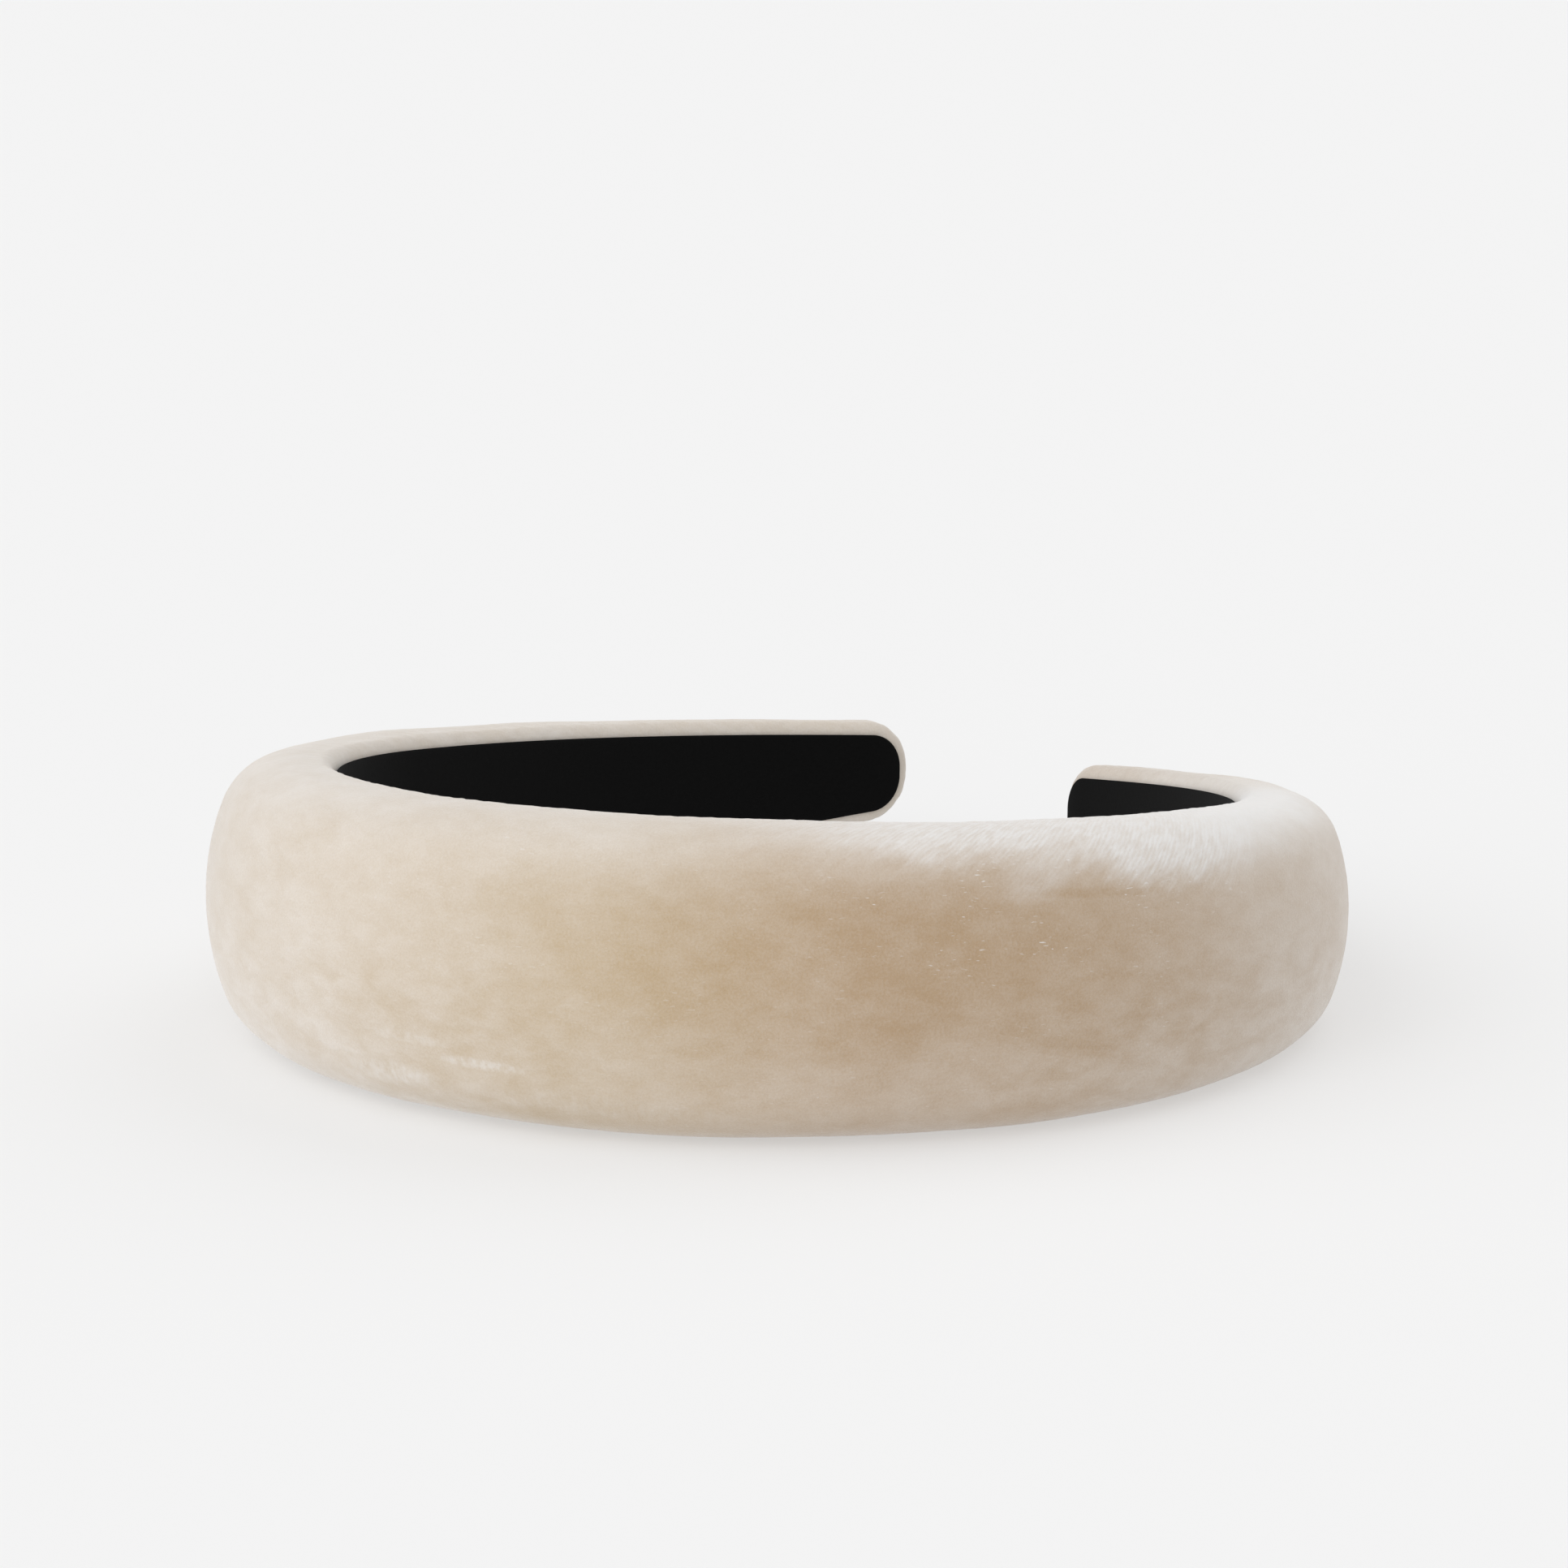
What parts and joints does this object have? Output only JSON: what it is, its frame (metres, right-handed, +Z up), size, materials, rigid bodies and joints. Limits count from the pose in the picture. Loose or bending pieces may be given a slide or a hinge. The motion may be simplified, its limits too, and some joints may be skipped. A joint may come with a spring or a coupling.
{
  "type": "padded headband",
  "caption": "Wide padded velvet headband: an open C of springy plastic with a puffy foam crown, a cream velvet cover and a black lining.",
  "frame": {"origin": "middle of the lowest plane, under the centre of the band's box, as it lies on its side", "axes": "+Z up along the band's width, -Y towards the crown, +Y towards the two tips, X across the head"},
  "size_m": [0.1496, 0.1726, 0.0386],
  "materials": {
    "velvet": "matte",
    "lining": "matte",
    "core": "satin",
    "foam": "matte",
    "tape": "satin",
    "glue": "satin"
  },
  "bodies": {
    "left_half": {"core_band_left": "core", "foam_tape_left": "tape", "foam_pad_left": "foam", "velvet_cover_left": "velvet", "margin_tape_upper_left": "tape", "margin_tape_lower_left": "tape", "lining_glue_left": "glue", "lining_ribbon_left": "lining"},
    "right_half": {"core_band_right": "core", "foam_tape_right": "tape", "foam_pad_right": "foam", "velvet_cover_right": "velvet", "margin_tape_upper_right": "tape", "margin_tape_lower_right": "tape", "lining_glue_right": "glue", "lining_ribbon_right": "lining"}
  },
  "joints": [
    {"name": "band_flex", "type": "hinge", "parent": "left_half", "child": "right_half", "pos_m": [-0.00001, -0.07156, 0.01936], "axis": [0.0026, -0.0558, -0.9984], "range_deg": [-5, 26], "stiffness_Nm_per_rad": 0.25, "deforming": ["foam_tape_left", "foam_pad_left", "velvet_cover_left", "foam_tape_right", "foam_pad_right", "velvet_cover_right"]}
  ]
}
